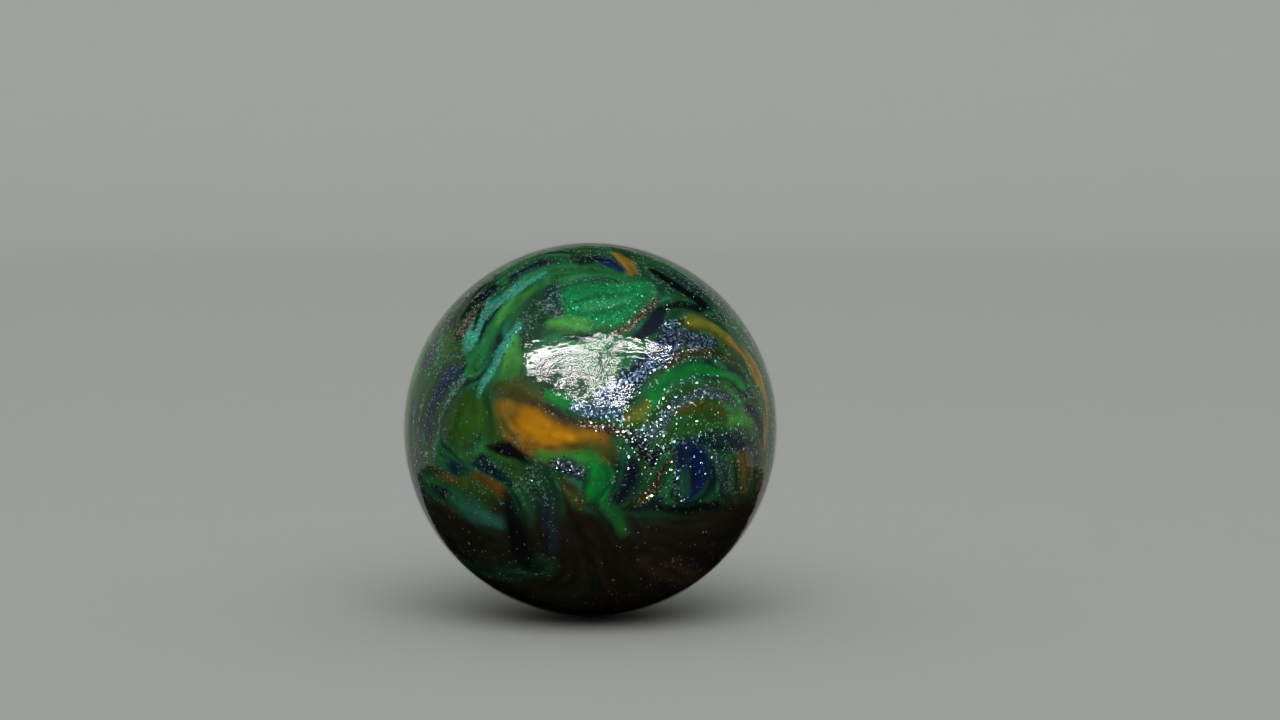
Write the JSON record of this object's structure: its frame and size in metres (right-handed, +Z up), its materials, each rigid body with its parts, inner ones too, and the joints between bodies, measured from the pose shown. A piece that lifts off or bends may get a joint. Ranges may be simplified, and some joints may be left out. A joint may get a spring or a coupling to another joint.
{
  "type": "cue ball",
  "caption": "Glossy marbled cue ball with green, orange, navy, black and silver glitter swirls under a clear coat.",
  "frame": {"origin": "centre of the ball", "axes": "+Z up as the ball rests in its seat, -Y towards the side with the orange patch, +X to that side's right"},
  "size_m": [0.0572, 0.0572, 0.0572],
  "materials": {
    "black_resin": "black resin",
    "brown_resin": "dark brown resin",
    "clear_gloss": "clear high gloss, slightly wavy",
    "core_resin": "plain cast resin, hidden",
    "dark_green_resin": "dark green to black resin with fine silver glitter",
    "emerald_glitter": "emerald resin full of fine glitter",
    "gold_glitter": "gold glitter in brown resin",
    "green_resin": "smooth green resin",
    "navy_glitter": "navy resin with fine silver glitter",
    "olive_resin": "smooth olive resin",
    "orange_resin": "smooth orange resin",
    "silver_blue_glitter": "silver glitter in dark blue resin",
    "teal_glitter": "teal resin with silver glitter"
  },
  "bodies": {
    "root": {"amber_stripe": "orange_resin", "back_amber_stripe": "orange_resin", "back_blue_patch": "navy_glitter", "back_emerald_patch": "emerald_glitter", "back_navy_field": "navy_glitter", "back_orange_patch": "orange_resin", "back_silver_arc": "silver_blue_glitter", "black_fold": "black_resin", "black_streak": "black_resin", "blue_patch": "navy_glitter", "clear_coat": "clear_gloss", "core_ball": "core_resin", "dark_ground": "dark_green_resin", "emerald_patch": "emerald_glitter", "gold_streak": "gold_glitter", "green_arc": "green_resin", "green_band": "green_resin", "green_drop": "green_resin", "navy_band": "navy_glitter", "navy_crescent": "navy_glitter", "navy_field": "navy_glitter", "navy_streak": "navy_glitter", "navy_wedge": "navy_glitter", "olive_field": "olive_resin", "olive_pool": "olive_resin", "orange_patch": "orange_resin", "orange_streak": "orange_resin", "right_side_green_band": "green_resin", "rust_patch": "orange_resin", "silver_arc": "silver_blue_glitter", "silver_blue_field": "silver_blue_glitter", "silver_green_patch": "emerald_glitter", "teal_streak": "teal_glitter", "underside_brown_patch": "brown_resin", "underside_green_arc": "green_resin"}
  },
  "joints": []
}
